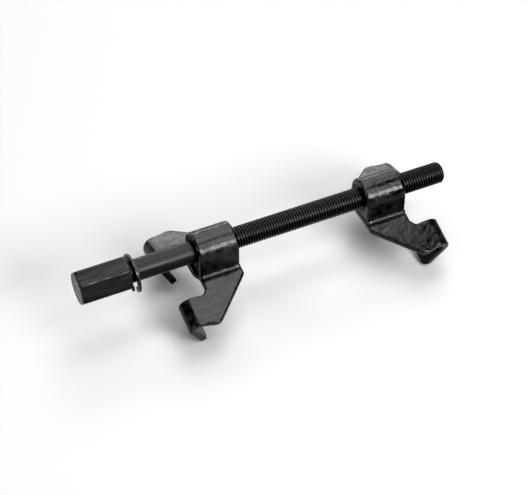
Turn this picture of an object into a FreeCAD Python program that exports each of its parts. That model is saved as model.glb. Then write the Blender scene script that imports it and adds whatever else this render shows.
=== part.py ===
"""Coil spring compressor: one long screw, two saddle jaws, and a J hook on each wing of each jaw.

Millimetres, +Z up, screw along X with its hexagon at -X. The tool stands on the lips of its four hooks.
Every piece is built round the screw's axis with the hexagon's outer end at x = 0, then moved so that the
origin is the middle of the tool's length, on the surface it stands on.
"""

import FreeCAD, Part
import math
import os

os.makedirs("parts", exist_ok=True)

V = FreeCAD.Vector

# screw
LENGTH = 284.0            # hexagon's outer end to the end of the thread
SHANK_R = 8.0             # plain part of the M16 screw
THREAD_R = 7.95           # crest of the M16 thread
SHANK_END = 108.0         # where the plain part stops
END_CHAMFER = 1.6

# hexagon
HEX_FLATS = 23.2
HEX_LENGTH = 37.5
HEX_TURN = 10.0           # degrees from +Y to the first corner
HEX_SOCKET_DEPTH = 30.0   # how far the shank is set into the hexagon
HEX_END_R = HEX_FLATS / 2 - 0.1
HEX_CORNER_CUT = 2.3      # how far out the cone at each end runs
HEX_CONE_ANGLE = 30.0     # of the turned ends, from the flat end

# split spring washer
WASHER_X = 38.9
WASHER_IN_R = 10.2
WASHER_OUT_R = 14.2
WASHER_THICK = 1.9
WASHER_RISE = 2.2         # axial offset of one cut end from the other
WASHER_TURN = 346.0       # degrees of ring between the cut ends
WASHER_SPLIT = -20.0      # degrees from straight down, where the ring is cut
WASHER_DROP = 2.0         # the loose ring hangs on the shank

# jaws, measured from the plate's back edge towards the hooks
NEAR_BACK_X = 117.6
FAR_BACK_X = 217.6
SADDLE_START = 0.5
SADDLE_LENGTH = 30.5
SADDLE_R = 14.0
PLATE_TOP = -14.2         # plate's upper face, from the screw's axis
BUSH_OUT_R = 10.5
BUSH_INSET = 0.6          # bush ends stand this far inside the saddle's ends
RUNNING_GAP = 0.05

# hook plate
THICK = 5.2
BEND_Y = 17.3             # line where floor and wing meet
WING_ANGLE = 17.0
WING_BEND_R = 7.0         # on the spring side
FLOOR_FRONT = 33.5
FLOOR_SIDE_FRONT = 31.0
WING_REACH = 34.0
EDGE_R = 1.2

# J hook
HOOK_START = 44.2
HOOK_INNER_S = 8.6
HOOK_OUTER_S = 30.8
HOOK_BEND_R = 3.0         # inside radius
HOOK_ANGLE = 118.0
LIP_LENGTH = 23.5         # straight part after the bend
LIP_CORNER_R = 4.5

# welds
BEAD_R = 2.3
BEAD_MARGIN = 2.0


def rounded_face(corners):
    """A flat face in the XY plane from (x, y, corner radius) entries."""
    count = len(corners)
    starts, middles, ends = [], [], []
    for i, (x, y, radius) in enumerate(corners):
        here = V(x, y, 0)
        before = V(corners[i - 1][0], corners[i - 1][1], 0)
        after = V(corners[(i + 1) % count][0], corners[(i + 1) % count][1], 0)
        back = (before - here).normalize()
        ahead = (after - here).normalize()
        half = back.getAngle(ahead) / 2
        run = radius / math.tan(half)
        start = here + back * run
        end = here + ahead * run
        to_here = radius / math.sin(half) - radius
        starts.append(start)
        middles.append(here + (back + ahead).normalize() * to_here)
        ends.append(end)
    edges = []
    for i in range(count):
        if corners[i][2] > 0:
            edges.append(Part.Arc(starts[i], middles[i], ends[i]).toShape())
        edges.append(Part.LineSegment(ends[i], starts[(i + 1) % count]).toShape())
    return Part.Face(Part.Wire(edges))


def turned(shape, axis, degrees):
    shape.rotate(V(0, 0, 0), axis, degrees)
    return shape


def section_along_x(corners, x_from, x_to):
    """A solid with a constant section in the YZ plane, given as (y, z, corner radius) entries."""
    face = rounded_face(corners)
    face = turned(face, V(1, 1, 1), 120)
    face.translate(V(x_from, 0, 0))
    return face.extrude(V(x_to - x_from, 0, 0))


def rod_piece(radius, x_from, x_to):
    return Part.makeCylinder(radius, x_to - x_from, V(x_from, 0, 0), V(1, 0, 0))


def screw_rod():
    start = HEX_LENGTH - HEX_SOCKET_DEPTH
    shank = rod_piece(SHANK_R, start, SHANK_END)
    thread = rod_piece(THREAD_R, SHANK_END, LENGTH - END_CHAMFER)
    tip = Part.makeCone(
        THREAD_R, THREAD_R - END_CHAMFER, END_CHAMFER, V(LENGTH - END_CHAMFER, 0, 0), V(1, 0, 0)
    )
    return shank.fuse(thread).fuse(tip)


def drive_hex():
    corner_r = HEX_FLATS / 2 / math.cos(math.radians(30))
    points = []
    for i in range(7):
        angle = math.radians(60 * i + HEX_TURN)
        points.append(V(0, corner_r * math.cos(angle), corner_r * math.sin(angle)))
    prism = Part.Face(Part.makePolygon(points)).extrude(V(HEX_LENGTH, 0, 0))
    # both ends are turned to a cone, so only the corners lose metal
    wide_r = HEX_END_R + HEX_CORNER_CUT
    run = HEX_CORNER_CUT * math.tan(math.radians(HEX_CONE_ANGLE))
    along = V(1, 0, 0)
    near_cone = Part.makeCone(HEX_END_R, wide_r, run, V(0, 0, 0), along)
    body = Part.makeCylinder(wide_r, HEX_LENGTH - 2 * run, V(run, 0, 0), along)
    far_cone = Part.makeCone(wide_r, HEX_END_R, run, V(HEX_LENGTH - run, 0, 0), along)
    turned_bar = near_cone.fuse([body, far_cone])
    socket = rod_piece(SHANK_R, HEX_LENGTH - HEX_SOCKET_DEPTH, HEX_LENGTH)
    return prism.common(turned_bar).cut(socket)


def spring_washer():
    """A split ring whose two cut ends stand apart along the screw."""
    pitch = WASHER_RISE * 360 / WASHER_TURN
    mean_r = (WASHER_IN_R + WASHER_OUT_R) / 2
    half_w = (WASHER_OUT_R - WASHER_IN_R) / 2
    half_t = WASHER_THICK / 2
    path = Part.makeHelix(pitch, WASHER_RISE, mean_r)
    corners = [(-half_w, -half_t), (half_w, -half_t), (half_w, half_t), (-half_w, half_t)]
    points = []
    for across, along in corners + corners[:1]:
        points.append(V(mean_r + across, 0, along))
    profile = Part.makePolygon(points)
    ring = Part.Wire(path).makePipeShell([profile], True, True)
    ring = turned(ring, V(0, 1, 0), 90)
    ring = turned(ring, V(1, 0, 0), WASHER_SPLIT)
    ring.translate(V(WASHER_X + half_t, 0, -WASHER_DROP))
    return ring


def saddle(bore_r):
    """Arched housing: half round on top, straight legs down to the plate."""
    end = SADDLE_START + SADDLE_LENGTH
    arch = rod_piece(SADDLE_R, SADDLE_START, end)
    legs = Part.makeBox(
        SADDLE_LENGTH, 2 * SADDLE_R, -PLATE_TOP, V(SADDLE_START, -SADDLE_R, PLATE_TOP)
    )
    block = arch.fuse(legs).removeSplitter()
    rims = []
    for edge in block.Edges:
        box = edge.BoundBox
        if box.XLength < 0.01 and box.ZMax > PLATE_TOP + 1:
            rims.append(edge)
    block = block.makeFillet(1.6, rims)
    return block.cut(rod_piece(bore_r, SADDLE_START - 1, end + 1))


def bush(bore_r):
    start = SADDLE_START + BUSH_INSET
    end = SADDLE_START + SADDLE_LENGTH - BUSH_INSET
    ring = rod_piece(BUSH_OUT_R, start, end).cut(rod_piece(bore_r, start - 1, end + 1))
    rims = []
    for edge in ring.Edges:
        if edge.BoundBox.XLength < 0.01 and edge.BoundBox.YLength < 2 * BUSH_OUT_R - 1:
            rims.append(edge)
    return ring.makeChamfer(0.7, rims)


def on_wing(shape, side):
    """Carries a shape drawn with the wing flat in the XY plane (y outwards from the bend) to its wing."""
    if side < 0:
        shape = shape.mirror(V(0, 0, 0), V(0, 1, 0))
    shape = turned(shape, V(1, 0, 0), -side * WING_ANGLE)
    shape.translate(V(0, side * BEND_Y, PLATE_TOP))
    return shape


def bent_sheet():
    """Floor and both wings as one folded strip, before its outline is cut."""
    angle = math.radians(WING_ANGLE)
    tip_y = BEND_Y + WING_REACH * math.cos(angle)
    tip_z = PLATE_TOP - WING_REACH * math.sin(angle)
    under_y = BEND_Y - THICK * math.tan(angle / 2)
    in_y = tip_y - THICK * math.sin(angle)
    in_z = tip_z - THICK * math.cos(angle)
    right = [
        (under_y, PLATE_TOP - THICK, WING_BEND_R),
        (in_y, in_z, 0),
        (tip_y, tip_z, 0),
        (BEND_Y, PLATE_TOP, WING_BEND_R + THICK),
    ]
    left = []
    for y, z, radius in reversed(right):
        left.append((-y, z, radius))
    return section_along_x(right + left, -1, HOOK_START)


def outline():
    """The plate's outline as three upright blocks: the floor, and one square to each wing."""
    floor = rounded_face(
        [
            (0, -BEND_Y, 0),
            (FLOOR_SIDE_FRONT, -BEND_Y, 0),
            (FLOOR_SIDE_FRONT, -11, 4),
            (FLOOR_FRONT, -6, 8),
            (FLOOR_FRONT, 6, 8),
            (FLOOR_SIDE_FRONT, 11, 4),
            (FLOOR_SIDE_FRONT, BEND_Y, 0),
            (0, BEND_Y, 0),
        ]
    )
    floor.translate(V(0, 0, -40))
    blocks = [floor.extrude(V(0, 0, 60))]
    for side in (1, -1):
        face = rounded_face(
            [
                (0, -1.5, 0),
                (FLOOR_SIDE_FRONT, -1.5, 0),
                (FLOOR_SIDE_FRONT, 5.0, 2),
                (34.2, 9.4, 3),
                (40.5, HOOK_INNER_S, 15),
                (HOOK_START, HOOK_INNER_S, 0),
                (HOOK_START, HOOK_OUTER_S, 0),
                (41.5, HOOK_OUTER_S, 15),
                (30.4, 33.6, 6),
                (0, 3.3, 3),
            ]
        )
        face.translate(V(0, 0, -15))
        blocks.append(on_wing(face.extrude(V(0, 0, 25)), side))
    return blocks[0].fuse(blocks[1:])


def hook(side):
    """J hook: the wing's sheet rolled round towards the spring, ending in a lip that leans back."""
    outer_r = HOOK_BEND_R + THICK
    sweep = math.radians(HOOK_ANGLE)

    def on_bend(radius, angle):
        return V(HOOK_START + radius * math.sin(angle), 0, -outer_r + radius * math.cos(angle))

    down_lip = V(math.cos(sweep), 0, -math.sin(sweep)) * LIP_LENGTH
    outer_end = on_bend(outer_r, sweep)
    inner_end = on_bend(HOOK_BEND_R, sweep)
    edges = [
        Part.Arc(on_bend(outer_r, 0), on_bend(outer_r, sweep / 2), outer_end).toShape(),
        Part.LineSegment(outer_end, outer_end + down_lip).toShape(),
        Part.LineSegment(outer_end + down_lip, inner_end + down_lip).toShape(),
        Part.LineSegment(inner_end + down_lip, inner_end).toShape(),
        Part.Arc(inner_end, on_bend(HOOK_BEND_R, sweep / 2), on_bend(HOOK_BEND_R, 0)).toShape(),
        Part.LineSegment(on_bend(HOOK_BEND_R, 0), on_bend(outer_r, 0)).toShape(),
    ]
    face = Part.Face(Part.Wire(edges))
    face.translate(V(0, HOOK_INNER_S, 0))
    solid = face.extrude(V(0, HOOK_OUTER_S - HOOK_INNER_S, 0))
    corners = []
    middle = (outer_end + inner_end) * 0.5 + down_lip
    for edge in solid.Edges:
        centre = edge.CenterOfMass
        if edge.BoundBox.YLength < 0.01 and math.hypot(centre.x - middle.x, centre.z - middle.z) < 0.1:
            corners.append(edge)
    return on_wing(solid.makeFillet(LIP_CORNER_R, corners), side)


def hook_plate():
    plate = bent_sheet().common(outline())
    plate = plate.fuse([hook(1), hook(-1)]).removeSplitter()
    sharp = []
    for edge in plate.Edges:
        if edge.Length > 1.5 and is_sharp(plate, edge):
            sharp.append(edge)
    return plate.makeFillet(EDGE_R, sharp)


def is_sharp(shape, edge):
    """True where the two faces beside an edge meet at a clear corner."""
    faces = shape.ancestorsOfType(edge, Part.Face)
    if len(faces) != 2:
        return False
    middle = edge.valueAt((edge.FirstParameter + edge.LastParameter) / 2)
    normals = []
    for face in faces:
        u, v = face.Surface.parameter(middle)
        normals.append(face.normalAt(u, v))
    return normals[0].getAngle(normals[1]) > math.radians(40)


def weld_bead(side, plate, housing):
    """Bead along the corner between a saddle's leg and the plate."""
    start = SADDLE_START + BEAD_MARGIN
    end = SADDLE_START + SADDLE_LENGTH - BEAD_MARGIN
    bar = rod_piece(BEAD_R, start, end)
    bar = bar.fuse([Part.makeSphere(BEAD_R, V(start, 0, 0)), Part.makeSphere(BEAD_R, V(end, 0, 0))])
    bar.translate(V(0, side * (SADDLE_R - 0.2), PLATE_TOP + 0.1))
    return bar.cut(plate).cut(housing)


def near_jaw(shape):
    """Turns a jaw piece so its hooks point at the hexagon, and puts it on the shank."""
    placed = shape.copy()
    placed.rotate(V(0, 0, 0), V(0, 0, 1), 180)
    placed.translate(V(NEAR_BACK_X, 0, 0))
    return placed


def far_jaw(shape):
    placed = shape.copy()
    placed.translate(V(FAR_BACK_X, 0, 0))
    return placed


plate = hook_plate()
near_housing = saddle(BUSH_OUT_R)
far_housing = saddle(BUSH_OUT_R + RUNNING_GAP)
pieces = {
    "screw_rod": screw_rod(),
    "drive_hex": drive_hex(),
    "spring_washer": spring_washer(),
    "near_saddle": near_jaw(near_housing),
    "near_bush": near_jaw(bush(SHANK_R + RUNNING_GAP)),
    "near_hook_plate": near_jaw(plate),
    "near_weld_left": near_jaw(weld_bead(-1, plate, near_housing)),
    "near_weld_right": near_jaw(weld_bead(1, plate, near_housing)),
    "far_saddle": far_jaw(far_housing),
    "far_threaded_bush": far_jaw(bush(THREAD_R + RUNNING_GAP)),
    "far_hook_plate": far_jaw(plate),
    "far_weld_left": far_jaw(weld_bead(1, plate, far_housing)),
    "far_weld_right": far_jaw(weld_bead(-1, plate, far_housing)),
}

drop = -plate.BoundBox.ZMin
for name, shape in pieces.items():
    shape.translate(V(-LENGTH / 2, 0, drop))
    shape.exportStep("parts/" + name + ".step")
    box = shape.BoundBox
    print(
        name, shape.isValid(), len(shape.Solids), len(shape.Faces), round(shape.Volume),
        [round(n, 2) for n in (box.XMin, box.XMax, box.YMin, box.YMax, box.ZMin, box.ZMax)],
    )
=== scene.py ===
import math

import bmesh
import bpy
import numpy as np
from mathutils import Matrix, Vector


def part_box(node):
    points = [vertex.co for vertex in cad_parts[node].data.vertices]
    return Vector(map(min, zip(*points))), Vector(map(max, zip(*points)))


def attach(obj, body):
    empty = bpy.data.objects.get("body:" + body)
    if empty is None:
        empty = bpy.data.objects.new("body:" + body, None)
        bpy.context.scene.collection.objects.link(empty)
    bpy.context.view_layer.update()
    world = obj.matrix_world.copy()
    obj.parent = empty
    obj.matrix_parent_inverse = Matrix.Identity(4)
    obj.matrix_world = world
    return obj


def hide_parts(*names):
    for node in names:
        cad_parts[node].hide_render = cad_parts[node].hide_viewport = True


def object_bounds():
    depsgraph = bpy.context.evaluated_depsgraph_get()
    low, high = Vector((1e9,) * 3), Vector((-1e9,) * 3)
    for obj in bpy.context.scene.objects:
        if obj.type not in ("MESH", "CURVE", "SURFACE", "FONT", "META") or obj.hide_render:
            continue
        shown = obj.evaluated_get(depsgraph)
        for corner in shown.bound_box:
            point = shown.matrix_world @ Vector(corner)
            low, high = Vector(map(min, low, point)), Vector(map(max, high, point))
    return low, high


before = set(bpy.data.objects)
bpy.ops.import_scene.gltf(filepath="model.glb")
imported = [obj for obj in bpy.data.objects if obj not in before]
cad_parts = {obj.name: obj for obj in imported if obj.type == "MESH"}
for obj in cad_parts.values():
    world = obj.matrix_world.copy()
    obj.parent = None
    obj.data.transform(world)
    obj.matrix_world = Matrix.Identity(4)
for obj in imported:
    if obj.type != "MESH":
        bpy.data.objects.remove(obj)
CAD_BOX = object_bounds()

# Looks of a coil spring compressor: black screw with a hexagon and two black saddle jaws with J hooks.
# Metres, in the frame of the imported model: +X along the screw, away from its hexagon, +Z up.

MM = 0.001

# screw
PITCH = 2.0 * MM
CREST_R = 7.95 * MM
ROOT_R = 6.95 * MM
CREST_FLAT = 0.17          # share of the pitch
ROOT_FLAT = 0.22
FLANK = (1 - CREST_FLAT - ROOT_FLAT) / 2
THREAD_SIDES = 96          # steps round the screw
ANGLES = [side * 2 * math.pi / THREAD_SIDES for side in range(THREAD_SIDES)]
THREAD_LEAD = 9.5 * MM     # how far the thread reaches into the near saddle
RUNOUT = 2.6 * MM          # length in which the thread fades into the shank
TIP_R = 6.36 * MM          # where the chamfer meets the flat end
SHANK_STEPS = 24
END_RING = 0.6             # inner ring of a flat end, as a share of its radius
MERGE_GAP = 0.001 * MM
CRISP_ANGLE = 28           # degrees between faces from which an edge stays crisp

# where along one pitch the rows of the thread's mesh lie
THREAD_SHARES = [
    0,
    ROOT_FLAT / 2,
    ROOT_FLAT,
    ROOT_FLAT + FLANK / 2,
    ROOT_FLAT + FLANK,
    ROOT_FLAT + FLANK + CREST_FLAT,
    1 - FLANK / 2,
]

# meshes of the other pieces: size of the grid and rounds of smoothing
PLATE_VOXEL = 0.4 * MM
BEAD_VOXEL = 0.25 * MM
WASHER_VOXEL = 0.22 * MM
SMOOTH_FACTOR = 0.5
PLATE_ROUNDS = 3
BEAD_ROUNDS = 4
TURNED_ROUNDS = 2
NORMAL_ROUNDS = 3
NEIGHBOUR_SHARE = 0.6      # how far each round moves a value towards its neighbours' mean

# wear on edges, by how tightly the surface curves (per mm)
WEAR_FROM = 0.1
WEAR_FULL = 0.5
WEAR_ROUNDS = 8

# weld beads
RIPPLE_PITCH = 1.7 * MM
RIPPLE_HEIGHT = 0.025 * MM
RIPPLE_SWEEP = 0.35        # how far a crescent trails at the bead's edges
RIPPLE_MIDDLE = 0.6        # height of a crescent that leaves the surface where it is

# cells of noise per metre, from broad patches of a finish to its finest grain
CLOUD_SCALE = 45
PRESSED_SCALE = 230
SPECK_SCALE = 420
GRAIN_SCALE = 1400
SCREW_CLOUD_SCALE = 60
TURNED_SCALE = 260
SCREW_GRAIN_SCALE = 1600

# the screw's black finish, and the radii between which it is rubbed
SCREW_DARK = (0.005, 0.005, 0.005)
SCREW_RUBBED = (0.02, 0.0195, 0.019)
RUBBED_FROM = 7.55 * MM
RUBBED_FULL = 7.93 * MM

# gloss
STEEL_SPECULAR = 0.18
SCREW_SPECULAR = 0.24
LACQUER_COAT = 0.1
LACQUER_COAT_ROUGHNESS = 0.12

# black finishes: colours of the finish and of bare metal, least and most roughness, how metallic the
# finish is, depth of its unevenness, wear at which it starts and ends rubbing bare, and how far its
# pattern is drawn out along the screw (1 is not at all)
FINISHES = {
    "jaw_lacquer": {
        "dark": (0.002, 0.002, 0.0021),
        "light": (0.012, 0.012, 0.0122),
        "worn": (0.035, 0.0345, 0.0335),
        "rough": (0.1, 0.36),
        "metal": 0.0,
        "peel": 0.1 * MM,
        "wear_cut": (0.65, 1.1),
    },
    "weld_lacquer": {
        "dark": (0.008, 0.008, 0.0085),
        "light": (0.018, 0.018, 0.0185),
        "worn": (0.08, 0.079, 0.077),
        "rough": (0.22, 0.36),
        "metal": 0.0,
        "peel": 0.02 * MM,
        "wear_cut": (0.7, 1.0),
    },
    "dull_steel": {
        "dark": (0.007, 0.007, 0.007),
        "light": (0.018, 0.0175, 0.017),
        "worn": (0.1, 0.098, 0.095),
        "rough": (0.45, 0.6),
        "metal": 0.4,
        "peel": 0.04 * MM,
        "wear_cut": (0.5, 0.95),
    },
    "hexagon_steel": {
        "dark": (0.005, 0.0048, 0.0046),
        "light": (0.019, 0.0175, 0.016),
        "worn": (0.05, 0.047, 0.043),
        "rough": (0.2, 0.4),
        "metal": 0.2,
        "peel": 0.08 * MM,
        "wear_cut": (0.7, 1.0),
        "drawn": 0.2,
    },
    "spring_steel": {
        "dark": (0.008, 0.008, 0.008),
        "light": (0.018, 0.0177, 0.0174),
        "worn": (0.08, 0.078, 0.076),
        "rough": (0.3, 0.44),
        "metal": 0.3,
        "peel": 0.02 * MM,
        "wear_cut": (0.7, 1.0),
    },
}

# softboxes, each aimed at the tool: place, size, watts
SOFTBOXES = {
    "overhead": ((0.22, 0.2, 1.2), (0.55, 0.75), 10),
    "front_key": ((0.42, -1.11, 0.78), (0.66, 0.46), 26),
    "front_top": ((0.38, -0.63, 1.24), (0.66, 0.6), 11),
    "back_top": ((0.4, 0.85, 0.98), (0.66, 0.6), 7),
    "backdrop": ((0.35, 1.35, 0.42), (1.9, 0.35), 13),
    "left_fill": ((-1.15, -0.2, 0.45), (0.5, 0.5), 6),
    "back_fill": ((-0.95, 0.95, 0.8), (0.6, 0.5), 7),
}
LIT_POINT = (0, 0, 0.04)
WORLD_STRENGTH = 0.22

# floor
FLOOR_HALF = 3.0
FLOOR_GREY = 0.4

# tone of the picture
GAMMA = 0.87
BLACK_LEVEL = 0.01

# camera, as seen from the tool's middle
VIEW_AZIMUTH = -24.4
VIEW_ELEVATION = 46.2
VIEW_DISTANCE = 1.31
LENS = 124.0
SENSOR = 36


# ---------------------------------------------------------------- meshes

def mesh_piece(name, verts, faces):
    mesh = bpy.data.meshes.new(name)
    mesh.from_pydata([tuple(v) for v in verts], [], faces)
    mesh.validate()
    piece = bpy.data.objects.new(name, mesh)
    bpy.context.scene.collection.objects.link(piece)
    return piece


def apply_modifiers(piece):
    graph = bpy.context.evaluated_depsgraph_get()
    made = bpy.data.meshes.new_from_object(piece.evaluated_get(graph))
    piece.modifiers.clear()
    piece.data = made


def read_vectors(items, key):
    flat = np.zeros(len(items) * 3)
    items.foreach_get(key, flat)
    return flat.reshape(-1, 3)


def places_of(mesh):
    return read_vectors(mesh.vertices, "co")


def normals_of(mesh):
    return read_vectors(mesh.vertex_normals, "vector")


def neighbours(mesh):
    """Pairs of joined vertices, and how many neighbours each vertex has."""
    flat = np.zeros(len(mesh.edges) * 2, np.int64)
    mesh.edges.foreach_get("vertices", flat)
    count = np.bincount(flat, minlength=len(mesh.vertices)).clip(1)
    return flat.reshape(-1, 2), count


def neighbour_mean(values, edges, count):
    """Mean of each vertex's neighbours' values."""
    total = np.zeros(values.shape)
    np.add.at(total, edges[:, 0], values[edges[:, 1]])
    np.add.at(total, edges[:, 1], values[edges[:, 0]])
    return total / (count if values.ndim == 1 else count[:, None])


def evened(values, edges, count, rounds):
    """The values after so many rounds of blending with their neighbours' mean."""
    for _ in range(rounds):
        mean = neighbour_mean(values, edges, count)
        values = (1 - NEIGHBOUR_SHARE) * values + NEIGHBOUR_SHARE * mean
    return values


def mark_edges(piece):
    """Stores how sharply each vertex stands out, from 0 to 1, as the attribute wear."""
    mesh = piece.data
    places = places_of(mesh)
    edges, count = neighbours(mesh)
    middle = neighbour_mean(places, edges, count)
    lengths = np.linalg.norm(places[edges[:, 0]] - places[edges[:, 1]], axis=1)
    spacing = float(lengths.mean())
    bend = 4 * np.einsum("ij,ij->i", places - middle, normals_of(mesh)) / spacing**2
    bend = evened(bend, edges, count, WEAR_ROUNDS)
    amount = (bend * MM - WEAR_FROM) / (WEAR_FULL - WEAR_FROM)
    store = mesh.attributes.new("wear", "FLOAT", "POINT")
    store.data.foreach_set("value", amount.clip(0, 1).astype(np.float32))


def soften_normals(piece):
    """Evens out the shading along rounded edges, so that their highlights run on unbroken."""
    mesh = piece.data
    edges, count = neighbours(mesh)
    normals = evened(normals_of(mesh), edges, count, NORMAL_ROUNDS)
    normals /= np.linalg.norm(normals, axis=1)[:, None]
    mesh.normals_split_custom_set_from_vertices(normals.tolist())


def skin(name, node, body, voxel, rounds):
    """An evenly meshed, slightly softened copy of a CAD node, which it stands for."""
    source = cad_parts[node]
    piece = bpy.data.objects.new(name, source.data.copy())
    piece.data.name = name
    bpy.context.scene.collection.objects.link(piece)
    piece.data.materials.clear()
    remesh = piece.modifiers.new("even", "REMESH")
    remesh.mode = "VOXEL"
    remesh.voxel_size = voxel
    remesh.adaptivity = 0
    settle = piece.modifiers.new("settle", "SHRINKWRAP")
    settle.target = source
    settle.wrap_method = "NEAREST_SURFACEPOINT"
    soften = piece.modifiers.new("soften", "SMOOTH")
    soften.factor = SMOOTH_FACTOR
    soften.iterations = rounds
    apply_modifiers(piece)
    piece.data.shade_smooth()
    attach(piece, body)
    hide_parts(node)
    return piece


def ripple(piece):
    """Weld ripples: overlapping crescents along the bead."""
    mesh = piece.data
    places = places_of(mesh)
    across = np.abs(places[:, 1] - places[:, 1].mean())
    phase = (places[:, 0] + RIPPLE_SWEEP * across) / RIPPLE_PITCH
    height = RIPPLE_HEIGHT * (np.abs(np.sin(math.pi * phase)) - RIPPLE_MIDDLE)
    places = places + normals_of(mesh) * height[:, None]
    mesh.vertices.foreach_set("co", places.ravel())
    mesh.update()


def finish_piece(piece, material):
    piece.data.materials.clear()
    piece.data.materials.append(material)


# ---------------------------------------------------------------- screw

def thread_radius(share):
    """Radius of the thread at a share of its pitch: flat root, flank, flat crest, flank."""
    steps = [0, ROOT_FLAT, ROOT_FLAT + FLANK, ROOT_FLAT + FLANK + CREST_FLAT, 1]
    return float(np.interp(share, steps, [ROOT_R, ROOT_R, CREST_R, CREST_R, ROOT_R]))


def thread_rows(start, end):
    """Rows of the thread's mesh, each as its place at angle 0 and its share of the pitch.

    They begin two turns early and run on past the tip, where thread_point holds them at the flat rings.
    """
    turns = int((end - start) / PITCH) + 3
    begin = start - 2 * PITCH
    rows = []
    for turn in range(turns):
        for share in THREAD_SHARES:
            rows.append((begin + (turn + share) * PITCH, share))
    for turn in range(3):
        rows.append((begin + (turns + turn) * PITCH, 0.0))
    return rows


def thread_point(row, angle, start, end, shank_r):
    """Place and radius of a point of a row: faded into the shank at the start, chamfered at the end."""
    x, share = row
    place = x + PITCH * angle / (2 * math.pi)
    place = min(max(place, start), end)
    fade = min(max((place - start) / RUNOUT, 0), 1)
    radius = shank_r + (thread_radius(share) - shank_r) * fade
    return place, min(radius, TIP_R + end - place)


def thread_faces(row_count):
    """Faces between rows; the last side of each meets the first side of the row one turn ahead."""
    faces = []
    per_turn = len(THREAD_SHARES)
    for row in range(row_count - 1):
        for side in range(THREAD_SIDES):
            a = row * THREAD_SIDES + side
            b = a + THREAD_SIDES
            if side < THREAD_SIDES - 1:
                faces.append((a, a + 1, b + 1, b))
            elif row + per_turn + 1 < row_count:
                ahead = (row + per_turn) * THREAD_SIDES
                faces.append((a, ahead, ahead + THREAD_SIDES, b))
    return faces


def around_axis(x, radius, angle, axis_z):
    return x, radius * math.cos(angle), axis_z + radius * math.sin(angle)


def add_ring(verts, faces, before, x, radius, axis_z):
    """Adds a flat ring of points, joined by faces to the ring whose first point is before."""
    first = len(verts)
    for side, angle in enumerate(ANGLES):
        verts.append(around_axis(x, radius, angle, axis_z))
        ahead = (side + 1) % THREAD_SIDES
        faces.append((before + side, before + ahead, first + ahead, first + side))
    return first


def close_end(verts, faces, before, x, radius, axis_z):
    """A flat end with an inner ring, so that its rim shades cleanly."""
    first = add_ring(verts, faces, before, x, radius * END_RING, axis_z)
    faces.append(tuple(range(first, first + THREAD_SIDES)))


def merge_points(piece):
    """Makes one point of those that meet, where the rows run into a flat ring."""
    bm = bmesh.new()
    bm.from_mesh(piece.data)
    bmesh.ops.remove_doubles(bm, verts=bm.verts, dist=MERGE_GAP)
    bmesh.ops.dissolve_degenerate(bm, edges=bm.edges, dist=MERGE_GAP)
    bmesh.ops.recalc_face_normals(bm, faces=bm.faces)
    bm.to_mesh(piece.data)
    bm.free()


def screw_piece():
    """Plain shank, thread with a run-out, and chamfered end, all one mesh whose rows follow the helix."""
    low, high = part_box("screw_rod")
    shank_r = (high.y - low.y) / 2
    axis_z = (high.z + low.z) / 2
    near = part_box("near_saddle")
    start = near[1].x - THREAD_LEAD
    rows = thread_rows(start, high.x)
    verts = []
    for row in rows:
        for angle in ANGLES:
            x, radius = thread_point(row, angle, start, high.x, shank_r)
            verts.append(around_axis(x, radius, angle, axis_z))
    faces = thread_faces(len(rows))
    close_end(verts, faces, len(verts) - THREAD_SIDES, high.x, TIP_R, axis_z)
    ring = 0
    for step in range(1, SHANK_STEPS + 1):
        x = start + (low.x - start) * step / SHANK_STEPS
        ring = add_ring(verts, faces, ring, x, shank_r, axis_z)
    close_end(verts, faces, ring, low.x, shank_r, axis_z)
    piece = mesh_piece("screw", verts, faces)
    merge_points(piece)
    piece.data.shade_smooth()
    sharpen(piece)
    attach(piece, "screw")
    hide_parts("screw_rod")
    return piece


def sharpen(piece):
    """Keeps edges crisp where faces meet at a wide angle."""
    bm = bmesh.new()
    bm.from_mesh(piece.data)
    for edge in bm.edges:
        if len(edge.link_faces) == 2 and edge.calc_face_angle() > math.radians(CRISP_ANGLE):
            edge.smooth = False
    bm.to_mesh(piece.data)
    bm.free()


# ---------------------------------------------------------------- materials

def new_material(name):
    material = bpy.data.materials.new(name)
    material.use_nodes = True
    tree = material.node_tree
    return material, tree, tree.nodes["Principled BSDF"]


def node(tree, kind, **values):
    made = tree.nodes.new(kind)
    for key, value in values.items():
        if hasattr(made, key):
            setattr(made, key, value)
        else:
            made.inputs[key.replace("_", " ")].default_value = value
    return made


def noise(tree, scale, detail=3.0, roughness=0.5, stretch_x=1.0):
    """Noise in the object's own metres; stretch_x below 1 draws it out along the screw."""
    place = node(tree, "ShaderNodeTexCoord")
    mapping = node(tree, "ShaderNodeMapping")
    mapping.inputs["Scale"].default_value = (stretch_x, 1, 1)
    tree.links.new(place.outputs["Object"], mapping.inputs["Vector"])
    made = node(tree, "ShaderNodeTexNoise", Scale=scale, Detail=detail, Roughness=roughness)
    tree.links.new(mapping.outputs["Vector"], made.inputs["Vector"])
    return made.outputs["Fac"]


def ramp(tree, source, low, high, start=0.0, end=1.0):
    """Maps source from start..end to low..high, and holds it there outside."""
    made = node(tree, "ShaderNodeMapRange", From_Min=start, From_Max=end, To_Min=low, To_Max=high)
    tree.links.new(source, made.inputs["Value"])
    return made.outputs["Result"]


def maths(tree, operation, *values):
    made = node(tree, "ShaderNodeMath", operation=operation)
    for socket, value in zip(made.inputs, values):
        if isinstance(value, (int, float)):
            socket.default_value = value
        else:
            tree.links.new(value, socket)
    return made.outputs["Value"]


def mix_colour(tree, share, first, second):
    made = node(tree, "ShaderNodeMix", data_type="RGBA")
    tree.links.new(share, made.inputs["Factor"])
    colours = [s for s in made.inputs if s.type == "RGBA"]
    for socket, value in zip(colours, (first, second)):
        if isinstance(value, tuple):
            socket.default_value = (*value, 1)
        else:
            tree.links.new(value, socket)
    return [s for s in made.outputs if s.type == "RGBA"][0]


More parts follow.
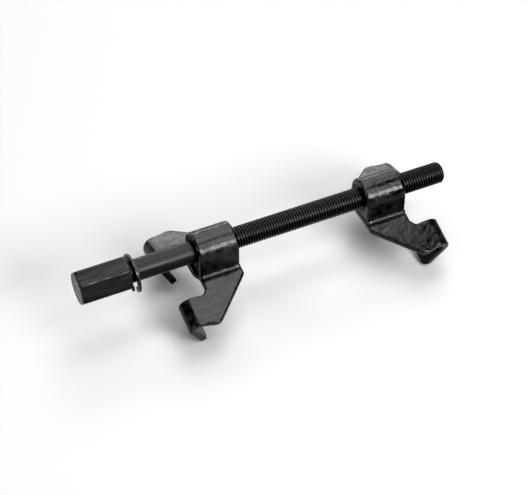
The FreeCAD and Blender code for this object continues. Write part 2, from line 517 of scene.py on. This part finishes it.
def bumps(tree, shader, layers):
    """Stacks (height source, distance) bumps into the shader's normal."""
    last = None
    for height, distance in layers:
        made = node(tree, "ShaderNodeBump", Strength=1.0, Distance=distance)
        tree.links.new(height, made.inputs["Height"])
        if last is not None:
            tree.links.new(last, made.inputs["Normal"])
        last = made.outputs["Normal"]
    tree.links.new(last, shader.inputs["Normal"])


def steel_finish(name, dark, light, worn, rough, metal, peel, wear_cut, drawn=1.0):
    """Black finish over steel: uneven sheen, fine grain, and thin bare spots where edges stand out."""
    material, tree, shader = new_material(name)
    cloud = noise(tree, CLOUD_SCALE, 4, 0.55, drawn)
    grain = noise(tree, GRAIN_SCALE, 3, 0.6, drawn)
    speck = noise(tree, SPECK_SCALE, 5, 0.65, drawn)
    pressed = noise(tree, PRESSED_SCALE, 3, 0.5, drawn)
    edge = node(tree, "ShaderNodeAttribute", attribute_name="wear").outputs["Fac"]
    broken = maths(tree, "MULTIPLY", edge, ramp(tree, speck, 0.25, 1.35, 0.38, 0.62))
    bare = ramp(tree, broken, 0, 1, *wear_cut)
    blotch = maths(tree, "ADD", cloud, pressed)
    base = mix_colour(tree, ramp(tree, blotch, 0, 1, 0.8, 1.25), dark, light)
    colour = mix_colour(tree, bare, base, worn)
    tree.links.new(colour, shader.inputs["Base Color"])
    sheen = ramp(tree, blotch, *rough, 0.75, 1.3)
    fine = ramp(tree, speck, -0.07, 0.09, 0.3, 0.7)
    level = maths(tree, "ADD", sheen, fine)
    shine = maths(tree, "ADD", level, ramp(tree, edge, 0, -0.09))
    tree.links.new(shine, shader.inputs["Roughness"])
    tree.links.new(ramp(tree, bare, metal, 0.95), shader.inputs["Metallic"])
    shader.inputs["Specular IOR Level"].default_value = STEEL_SPECULAR
    bumps(tree, shader, [(cloud, peel * 6), (pressed, peel * 4), (speck, peel * 0.5), (grain, peel * 0.15)])
    return material, shader


def plain_finish(name):
    return steel_finish(name, **FINISHES[name])[0]


def lacquer():
    """Semi-gloss black lacquer over pressed plate."""
    material, shader = steel_finish("jaw_lacquer", **FINISHES["jaw_lacquer"])
    shader.inputs["Coat Weight"].default_value = LACQUER_COAT
    shader.inputs["Coat Roughness"].default_value = LACQUER_COAT_ROUGHNESS
    return material


def distance_from_axis(tree):
    """How far a point of the screw lies from the screw's axis."""
    low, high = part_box("screw_rod")
    place = node(tree, "ShaderNodeTexCoord")
    parts = node(tree, "ShaderNodeSeparateXYZ")
    tree.links.new(place.outputs["Object"], parts.inputs["Vector"])
    aside = parts.outputs["Y"]
    up = maths(tree, "SUBTRACT", parts.outputs["Z"], (high.z + low.z) / 2)
    square = maths(tree, "ADD", maths(tree, "MULTIPLY", up, up), maths(tree, "MULTIPLY", aside, aside))
    return maths(tree, "SQRT", square)


def black_oxide():
    """Oiled black oxide on the screw: crests and shank rubbed a little brighter than the roots."""
    material, tree, shader = new_material("black_oxide")
    crest = ramp(tree, distance_from_axis(tree), 0, 1, RUBBED_FROM, RUBBED_FULL)
    cloud = noise(tree, SCREW_CLOUD_SCALE, 4, 0.6, 0.5)
    grain = noise(tree, SCREW_GRAIN_SCALE, 3, 0.6)
    turned = noise(tree, TURNED_SCALE, 4, 0.6, 8.0)
    rubbed = maths(tree, "MULTIPLY", crest, ramp(tree, cloud, 0.25, 1.0, 0.35, 0.7))
    colour = mix_colour(tree, rubbed, SCREW_DARK, SCREW_RUBBED)
    tree.links.new(colour, shader.inputs["Base Color"])
    sheen = ramp(tree, cloud, 0.24, 0.44, 0.3, 0.7)
    fine = ramp(tree, grain, -0.05, 0.05, 0.3, 0.7)
    tree.links.new(maths(tree, "ADD", sheen, fine), shader.inputs["Roughness"])
    tree.links.new(ramp(tree, rubbed, 0.2, 0.75), shader.inputs["Metallic"])
    shader.inputs["Specular IOR Level"].default_value = SCREW_SPECULAR
    bumps(tree, shader, [(cloud, 0.3 * MM), (turned, 0.03 * MM), (grain, 0.01 * MM)])
    return material


# ---------------------------------------------------------------- pieces

def build_jaw(jaw, body, jaw_finish, bead_finish):
    for part, source in (("_plate", "_hook_plate"), ("_housing", "_saddle")):
        piece = skin(jaw + part, jaw + source, body, PLATE_VOXEL, PLATE_ROUNDS)
        mark_edges(piece)
        soften_normals(piece)
        finish_piece(piece, jaw_finish)
    for side in ("left", "right"):
        bead = skin(jaw + "_bead_" + side, jaw + "_weld_" + side, body, BEAD_VOXEL, BEAD_ROUNDS)
        ripple(bead)
        mark_edges(bead)
        finish_piece(bead, bead_finish)


def build_turned(name, source, body, voxel, material):
    piece = skin(name, source, body, voxel, TURNED_ROUNDS)
    mark_edges(piece)
    finish_piece(piece, material)


def build_pieces():
    jaw_finish = lacquer()
    bead_finish = plain_finish("weld_lacquer")
    bush_finish = plain_finish("dull_steel")
    hexagon_finish = plain_finish("hexagon_steel")
    washer_finish = plain_finish("spring_steel")
    build_jaw("near", "near_jaw", jaw_finish, bead_finish)
    build_jaw("far", "far_jaw", jaw_finish, bead_finish)
    build_turned("near_sleeve", "near_bush", "near_jaw", PLATE_VOXEL, bush_finish)
    build_turned("far_nut_ring", "far_threaded_bush", "far_nut", PLATE_VOXEL, bush_finish)
    build_turned("hexagon", "drive_hex", "screw", PLATE_VOXEL, hexagon_finish)
    build_turned("lock_washer", "spring_washer", "washer", WASHER_VOXEL, washer_finish)
    finish_piece(screw_piece(), black_oxide())


# ---------------------------------------------------------------- stage

def floor():
    corners = [(-1, -1), (1, -1), (1, 1), (-1, 1)]
    plane = mesh_piece("floor", [(x * FLOOR_HALF, y * FLOOR_HALF, 0) for x, y in corners], [(0, 1, 2, 3)])
    material, _, shader = new_material("floor_paper")
    shader.inputs["Base Color"].default_value = (FLOOR_GREY, FLOOR_GREY, FLOOR_GREY, 1)
    shader.inputs["Roughness"].default_value = 0.9
    shader.inputs["Specular IOR Level"].default_value = 0.1
    plane.data.materials.append(material)


def aim(thing, target):
    thing.rotation_euler = (Vector(target) - thing.location).to_track_quat("-Z", "Y").to_euler()


def softbox(name, place, size, watts):
    light = bpy.data.lights.new(name, "AREA")
    light.shape = "RECTANGLE"
    light.size = size[0]
    light.size_y = size[1]
    light.energy = watts
    lamp = bpy.data.objects.new(name, light)
    lamp.location = place
    bpy.context.scene.collection.objects.link(lamp)
    aim(lamp, LIT_POINT)


def lights():
    world = bpy.data.worlds.new("studio")
    world.use_nodes = True
    back = world.node_tree.nodes["Background"]
    back.inputs["Color"].default_value = (1, 1, 1, 1)
    back.inputs["Strength"].default_value = WORLD_STRENGTH
    bpy.context.scene.world = world
    for name, (place, size, watts) in SOFTBOXES.items():
        softbox(name, place, size, watts)


def tone():
    """Deep blacks and clear highlights, as in a cut-out catalogue picture."""
    settings = bpy.context.scene.view_settings
    settings.view_transform = "Standard"
    settings.gamma = GAMMA
    settings.use_curve_mapping = True
    settings.curve_mapping.black_level = (BLACK_LEVEL, BLACK_LEVEL, BLACK_LEVEL)
    settings.curve_mapping.update()


def camera():
    low, high = CAD_BOX
    middle = (Vector(low) + Vector(high)) / 2
    around = math.radians(VIEW_AZIMUTH)
    above = math.radians(VIEW_ELEVATION)
    away = Vector(
        (math.sin(around) * math.cos(above), -math.cos(around) * math.cos(above), math.sin(above))
    )
    data = bpy.data.cameras.new("view")
    data.sensor_width = SENSOR
    data.lens = LENS
    viewer = bpy.data.objects.new("view", data)
    viewer.location = middle + away * VIEW_DISTANCE
    bpy.context.scene.collection.objects.link(viewer)
    aim(viewer, middle)
    bpy.context.scene.camera = viewer


build_pieces()
floor()
lights()
tone()
camera()
